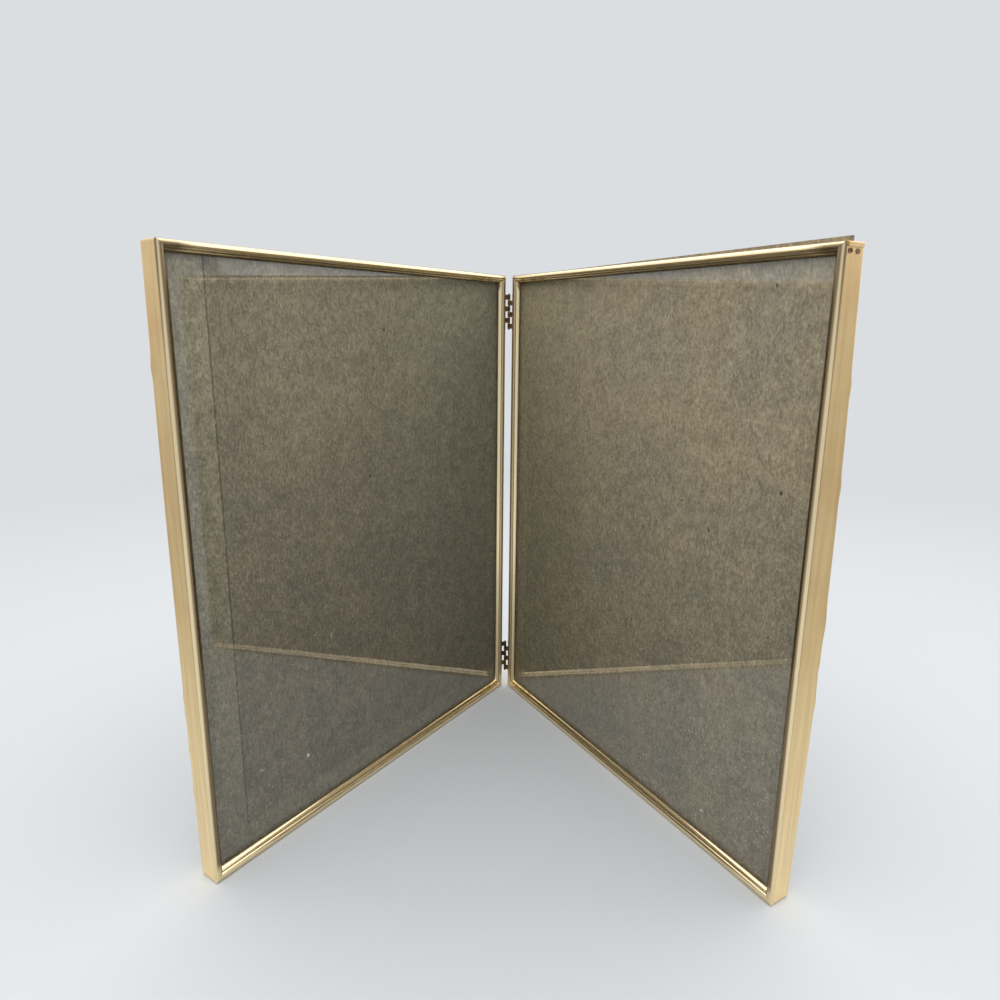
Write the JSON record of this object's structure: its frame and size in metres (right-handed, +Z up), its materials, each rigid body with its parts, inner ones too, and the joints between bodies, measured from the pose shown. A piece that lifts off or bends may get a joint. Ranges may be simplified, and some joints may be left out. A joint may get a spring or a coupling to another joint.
{
  "type": "hinged double photo frame",
  "caption": "Tabletop double photo frame in thin brass-coloured metal: two glazed leaves joined by small butt hinges stand open like a book.",
  "frame": {"origin": "on the table, under the middle of the frame's bounding box as it stands open", "axes": "+Z up along the hinge axis, +Y from the open side towards the hinges, +X to the right as seen from the open side"},
  "size_m": [0.2474, 0.1798, 0.261],
  "materials": {
    "rim": "polished rolled strip, slightly worn",
    "glass": "clear float glass",
    "insert_card": "grey-brown chipboard with flecks",
    "back_board": "plain grey-brown board",
    "hinge_plate": "satin stamped brass",
    "hinge_pin": "drawn wire with peened ends"
  },
  "bodies": {
    "left_leaf": {"left_top_rail": "rim", "left_bottom_rail": "rim", "left_outer_stile": "rim", "left_hinge_stile": "rim", "left_glass": "glass", "upper_hinge_left_plate": "hinge_plate", "lower_hinge_left_plate": "hinge_plate", "upper_hinge_pin": "hinge_pin", "lower_hinge_pin": "hinge_pin"},
    "right_leaf": {"right_top_rail": "rim", "right_bottom_rail": "rim", "right_outer_stile": "rim", "right_hinge_stile": "rim", "right_glass": "glass", "upper_hinge_right_plate": "hinge_plate", "lower_hinge_right_plate": "hinge_plate"},
    "left_backing": {"left_insert_card": "insert_card", "left_back_board": "back_board"},
    "right_backing": {"right_insert_card": "insert_card", "right_back_board": "back_board"}
  },
  "joints": [
    {"name": "hinge_fold", "type": "hinge", "parent": "left_leaf", "child": "right_leaf", "pos_m": [0, 0.08528, 0.1295], "axis": [0, 0, 1], "range_deg": [-66.1, 128.9]},
    {"name": "left_backing_slide", "type": "slide", "parent": "left_leaf", "child": "left_backing", "axis": [0, 0, 1], "range_m": [0, 0.24]},
    {"name": "right_backing_slide", "type": "slide", "parent": "right_leaf", "child": "right_backing", "axis": [0, 0, 1], "range_m": [0, 0.24]}
  ]
}
